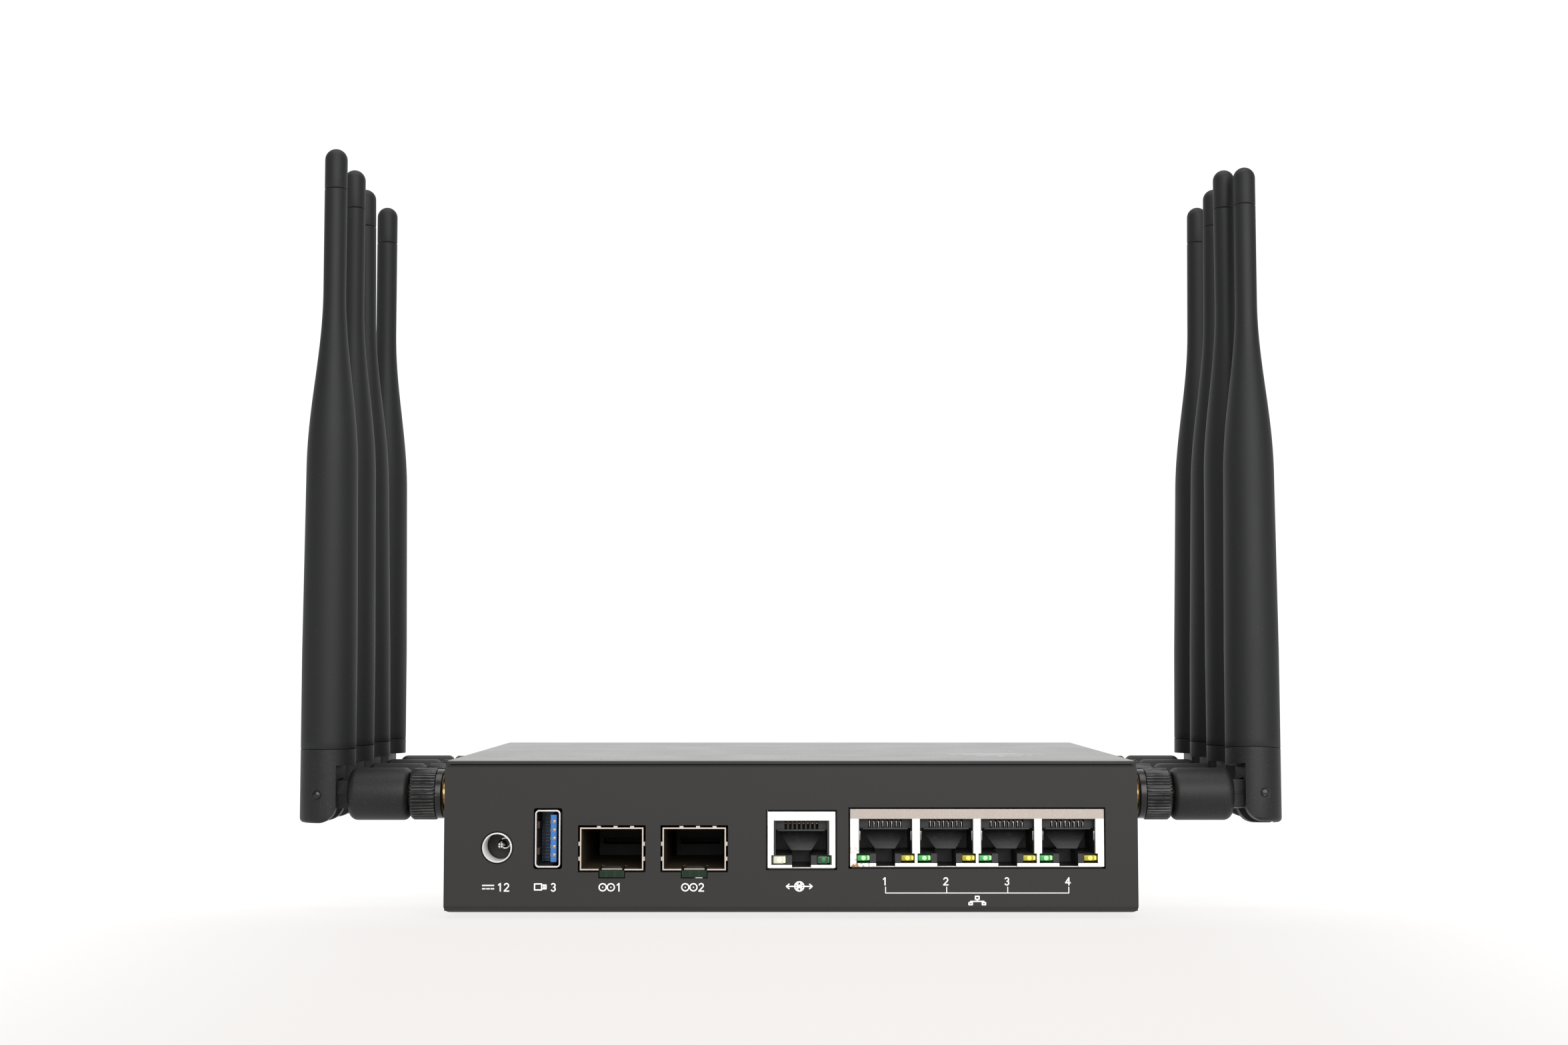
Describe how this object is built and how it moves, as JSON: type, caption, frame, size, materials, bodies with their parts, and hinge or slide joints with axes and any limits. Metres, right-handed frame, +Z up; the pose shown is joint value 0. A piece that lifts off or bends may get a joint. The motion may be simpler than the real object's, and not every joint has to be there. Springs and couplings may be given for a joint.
{
  "type": "wireless router",
  "caption": "Low sheet-metal network router with a front row of power, USB, fibre and network sockets, and folding screw-on antennas standing along both side walls.",
  "frame": {"origin": "middle of the outline on the surface that the rubber feet stand on", "axes": "+Z up; the front panel with the sockets faces -Y; +X to the right of someone facing that panel"},
  "size_m": [0.2352, 0.11, 0.1831],
  "materials": {
    "charcoal_paint": "matte",
    "cover_paint": "satin",
    "foot_rubber": "matte",
    "screw_steel": "satin",
    "board_green": "satin",
    "standoff_brass": "satin",
    "package_black": "matte",
    "sink_aluminium": "satin",
    "shield_tin": "satin",
    "lead_sheath": "satin",
    "usb_blue": "gloss",
    "port_black": "satin",
    "contact_gold": "polished",
    "light_green": "gloss",
    "button_black": "satin",
    "nut_black": "satin",
    "antenna_black": "matte"
  },
  "bodies": {
    "case": {"base_chassis": "charcoal_paint", "top_cover": "cover_paint", "rubber_feet": "foot_rubber", "cover_screws": "screw_steel", "main_board": "board_green", "board_standoffs": "standoff_brass", "board_screws": "screw_steel", "board_components": "package_black", "heat_sink": "sink_aluminium", "radio_shields": "shield_tin", "antenna_leads": "lead_sheath", "dc_jack": "package_black", "dc_contacts": "shield_tin", "usb_shell": "shield_tin", "usb_tongue": "usb_blue", "fibre_cages": "shield_tin", "fibre_connectors": "package_black", "button_switches": "package_black", "status_lamps": "light_green", "single_port_shield": "shield_tin", "single_port_housing": "port_black", "gang_shield": "shield_tin", "gang_housing": "port_black", "port_contacts": "contact_gold", "port_lights": "light_green", "antenna_jacks": "contact_gold"},
    "power_button": {"power_button": "button_black"},
    "reset_button": {"reset_button": "button_black"},
    "coupling_nut_1": {"coupling_nut_1": "nut_black"},
    "swivel_barrel_1": {"swivel_barrel_1": "antenna_black"},
    "antenna_1": {"folding_base_1": "antenna_black", "whip_1": "antenna_black"},
    "coupling_nut_2": {"coupling_nut_2": "nut_black"},
    "swivel_barrel_2": {"swivel_barrel_2": "antenna_black"},
    "antenna_2": {"folding_base_2": "antenna_black", "whip_2": "antenna_black"},
    "coupling_nut_3": {"coupling_nut_3": "nut_black"},
    "swivel_barrel_3": {"swivel_barrel_3": "antenna_black"},
    "antenna_3": {"folding_base_3": "antenna_black", "whip_3": "antenna_black"},
    "coupling_nut_4": {"coupling_nut_4": "nut_black"},
    "swivel_barrel_4": {"swivel_barrel_4": "antenna_black"},
    "antenna_4": {"folding_base_4": "antenna_black", "whip_4": "antenna_black"},
    "coupling_nut_5": {"coupling_nut_5": "nut_black"},
    "swivel_barrel_5": {"swivel_barrel_5": "antenna_black"},
    "antenna_5": {"folding_base_5": "antenna_black", "whip_5": "antenna_black"},
    "coupling_nut_6": {"coupling_nut_6": "nut_black"},
    "swivel_barrel_6": {"swivel_barrel_6": "antenna_black"},
    "antenna_6": {"folding_base_6": "antenna_black", "whip_6": "antenna_black"},
    "coupling_nut_7": {"coupling_nut_7": "nut_black"},
    "swivel_barrel_7": {"swivel_barrel_7": "antenna_black"},
    "antenna_7": {"folding_base_7": "antenna_black", "whip_7": "antenna_black"},
    "coupling_nut_8": {"coupling_nut_8": "nut_black"},
    "swivel_barrel_8": {"swivel_barrel_8": "antenna_black"},
    "antenna_8": {"folding_base_8": "antenna_black", "whip_8": "antenna_black"}
  },
  "joints": [
    {"name": "power_press", "type": "slide", "parent": "case", "child": "power_button", "axis": [0, -1, 0], "range_m": [0, 0.0012], "stiffness_N_per_m": 900, "springref_m": -0.0003},
    {"name": "reset_press", "type": "slide", "parent": "case", "child": "reset_button", "axis": [0, -1, 0], "range_m": [0, 0.0006], "stiffness_N_per_m": 900, "springref_m": -0.0003},
    {"name": "nut_turn_1", "type": "hinge", "parent": "case", "child": "coupling_nut_1", "pos_m": [-0.0863, -0.035, 0.0274], "axis": [-1, 0, 0], "continuous": true},
    {"name": "swivel_1", "type": "hinge", "parent": "case", "child": "swivel_barrel_1", "pos_m": [-0.097, -0.035, 0.0274], "axis": [1, 0, 0], "range_deg": [-6, 90]},
    {"name": "fold_1", "type": "hinge", "parent": "swivel_barrel_1", "child": "antenna_1", "pos_m": [-0.1118, -0.035, 0.0274], "axis": [0, -1, 0], "range_deg": [0, 90]},
    {"name": "nut_turn_2", "type": "hinge", "parent": "case", "child": "coupling_nut_2", "pos_m": [-0.0863, -0.0123, 0.0274], "axis": [-1, 0, 0], "continuous": true},
    {"name": "swivel_2", "type": "hinge", "parent": "case", "child": "swivel_barrel_2", "pos_m": [-0.097, -0.0123, 0.0274], "axis": [1, 0, 0], "range_deg": [-6, 6]},
    {"name": "fold_2", "type": "hinge", "parent": "swivel_barrel_2", "child": "antenna_2", "pos_m": [-0.1118, -0.0123, 0.0274], "axis": [0, -1, 0], "range_deg": [0, 90]},
    {"name": "nut_turn_3", "type": "hinge", "parent": "case", "child": "coupling_nut_3", "pos_m": [-0.0863, 0.0104, 0.0274], "axis": [-1, 0, 0], "continuous": true},
    {"name": "swivel_3", "type": "hinge", "parent": "case", "child": "swivel_barrel_3", "pos_m": [-0.097, 0.0104, 0.0274], "axis": [1, 0, 0], "range_deg": [-6, 6]},
    {"name": "fold_3", "type": "hinge", "parent": "swivel_barrel_3", "child": "antenna_3", "pos_m": [-0.1118, 0.0104, 0.0274], "axis": [0, -1, 0], "range_deg": [-0.6, 89.4]},
    {"name": "nut_turn_4", "type": "hinge", "parent": "case", "child": "coupling_nut_4", "pos_m": [-0.0863, 0.0331, 0.0274], "axis": [-1, 0, 0], "continuous": true},
    {"name": "swivel_4", "type": "hinge", "parent": "case", "child": "swivel_barrel_4", "pos_m": [-0.097, 0.0331, 0.0274], "axis": [1, 0, 0], "range_deg": [-90, 6]},
    {"name": "fold_4", "type": "hinge", "parent": "swivel_barrel_4", "child": "antenna_4", "pos_m": [-0.1118, 0.0331, 0.0274], "axis": [0, -1, 0], "range_deg": [0, 90]},
    {"name": "nut_turn_5", "type": "hinge", "parent": "case", "child": "coupling_nut_5", "pos_m": [0.0863, -0.035, 0.0274], "axis": [1, 0, 0], "continuous": true},
    {"name": "swivel_5", "type": "hinge", "parent": "case", "child": "swivel_barrel_5", "pos_m": [0.097, -0.035, 0.0274], "axis": [1, 0, 0], "range_deg": [0, 96]},
    {"name": "fold_5", "type": "hinge", "parent": "swivel_barrel_5", "child": "antenna_5", "pos_m": [0.1118, -0.035, 0.0274], "axis": [0, 0.9945, -0.1045], "range_deg": [-1.2, 88.8]},
    {"name": "nut_turn_6", "type": "hinge", "parent": "case", "child": "coupling_nut_6", "pos_m": [0.0863, -0.0123, 0.0274], "axis": [1, 0, 0], "continuous": true},
    {"name": "swivel_6", "type": "hinge", "parent": "case", "child": "swivel_barrel_6", "pos_m": [0.097, -0.0123, 0.0274], "axis": [1, 0, 0], "range_deg": [-6, 0.3]},
    {"name": "fold_6", "type": "hinge", "parent": "swivel_barrel_6", "child": "antenna_6", "pos_m": [0.1118, -0.0123, 0.0274], "axis": [0, 1, 0], "range_deg": [0, 90.2]},
    {"name": "nut_turn_7", "type": "hinge", "parent": "case", "child": "coupling_nut_7", "pos_m": [0.0863, 0.0104, 0.0274], "axis": [1, 0, 0], "continuous": true},
    {"name": "swivel_7", "type": "hinge", "parent": "case", "child": "swivel_barrel_7", "pos_m": [0.097, 0.0104, 0.0274], "axis": [1, 0, 0], "range_deg": [-6, 6]},
    {"name": "fold_7", "type": "hinge", "parent": "swivel_barrel_7", "child": "antenna_7", "pos_m": [0.1118, 0.0104, 0.0274], "axis": [0, 1, 0], "range_deg": [-0.5, 89.5]},
    {"name": "nut_turn_8", "type": "hinge", "parent": "case", "child": "coupling_nut_8", "pos_m": [0.0863, 0.0331, 0.0274], "axis": [1, 0, 0], "continuous": true},
    {"name": "swivel_8", "type": "hinge", "parent": "case", "child": "swivel_barrel_8", "pos_m": [0.097, 0.0331, 0.0274], "axis": [1, 0, 0], "range_deg": [-90, 6]},
    {"name": "fold_8", "type": "hinge", "parent": "swivel_barrel_8", "child": "antenna_8", "pos_m": [0.1118, 0.0331, 0.0274], "axis": [0, 1, 0], "range_deg": [-0.5, 89.5]}
  ]
}
